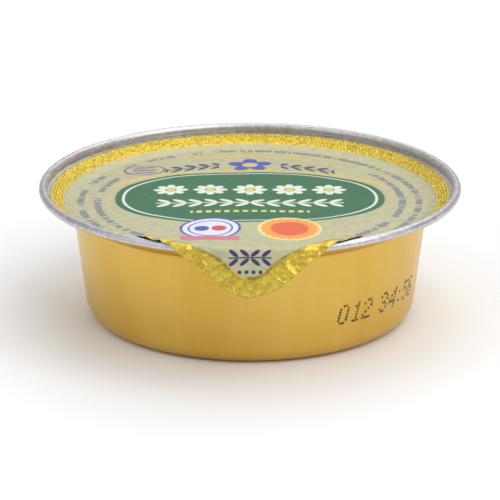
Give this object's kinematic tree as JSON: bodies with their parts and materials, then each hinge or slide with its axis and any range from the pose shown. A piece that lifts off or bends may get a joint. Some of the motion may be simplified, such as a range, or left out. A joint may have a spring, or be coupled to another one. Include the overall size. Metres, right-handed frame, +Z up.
{
  "type": "butter portion",
  "caption": "Round sealed butter portion: tapered gold foil cup with a rolled rim, and a printed peel-off foil lid whose pull tab is folded down at the front.",
  "frame": {"origin": "middle of the cup's flat base, on the surface it stands on", "axes": "+Z up along the cup's axis, -Y towards the pull tab at the front, +X to the right of the tab as seen from the front"},
  "size_m": [0.058, 0.0592, 0.0188],
  "materials": {
    "cup_foil": "satin gold lacquer on drawn foil, bare silver on the flange and its rolled rim",
    "lid_foil": "embossed foil printed with a pale cream ground, a gold ring and a green field"
  },
  "bodies": {
    "root": {"cup": "cup_foil", "lid": "lid_foil"}
  },
  "joints": []
}
